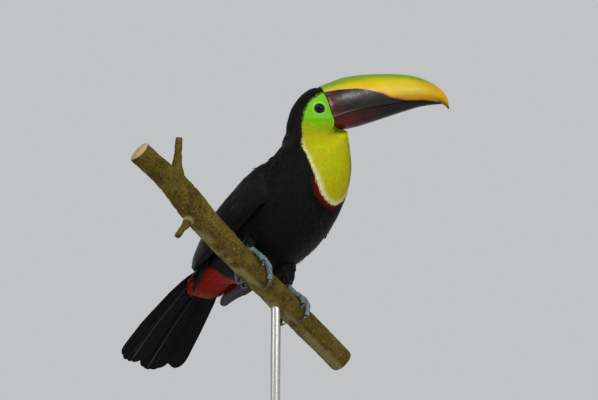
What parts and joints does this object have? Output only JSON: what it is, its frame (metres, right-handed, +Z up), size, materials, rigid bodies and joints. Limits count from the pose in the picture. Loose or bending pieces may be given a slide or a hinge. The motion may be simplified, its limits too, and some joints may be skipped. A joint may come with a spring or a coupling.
{
  "type": "yellow-throated toucan on a perch",
  "caption": "Life-size toucan perched upright on a cut, sloping branch, head turned to its left, held by a rod on a round display base.",
  "frame": {"origin": "centre of the display base's underside, on the floor and straight below the rod", "axes": "+Z up; the bird's trunk faces -Y and its left side is +X; the branch slopes down towards +X; the head is turned about 62 degrees to the bird's left"},
  "size_m": [0.3652, 0.3981, 0.6007],
  "materials": {
    "plumage_black": "soft black feathers with a faint sheen",
    "bib_yellow": "soft fine yellow feathers",
    "face_green": "bare, finely wrinkled green skin",
    "bill_yellow": "smooth horn with a soft gloss",
    "bill_chestnut": "smooth horn with a soft gloss, chestnut to black",
    "eye_brown": "wet and clear",
    "coverts_red": "soft loose red feathers",
    "coverts_white": "soft loose white feathers",
    "leg_blue_grey": "scaled blue-grey skin",
    "claw_horn": "satin dark horn",
    "bark": "rough bark with lichen",
    "stand_wood": "satin dark walnut",
    "stand_metal": "brushed"
  },
  "bodies": {
    "root": {"head": "face_green", "neck": "bib_yellow", "trunk": "plumage_black", "eye_right": "eye_brown", "eye_left": "eye_brown", "bill_upper": "bill_yellow", "bill_lower": "bill_chestnut", "wing_right": "plumage_black", "wing_left": "plumage_black", "primaries_right": "plumage_black", "primaries_left": "plumage_black", "tail": "plumage_black", "coverts_upper": "coverts_white", "coverts_under": "coverts_red", "thigh_right": "plumage_black", "thigh_left": "plumage_black", "leg_right": "leg_blue_grey", "leg_left": "leg_blue_grey", "claw_right_1": "claw_horn", "claw_right_2": "claw_horn", "claw_right_3": "claw_horn", "claw_right_4": "claw_horn", "claw_left_1": "claw_horn", "claw_left_2": "claw_horn", "claw_left_3": "claw_horn", "claw_left_4": "claw_horn", "perch": "bark", "stand_rod": "stand_metal", "stand_base": "stand_wood"}
  },
  "joints": []
}
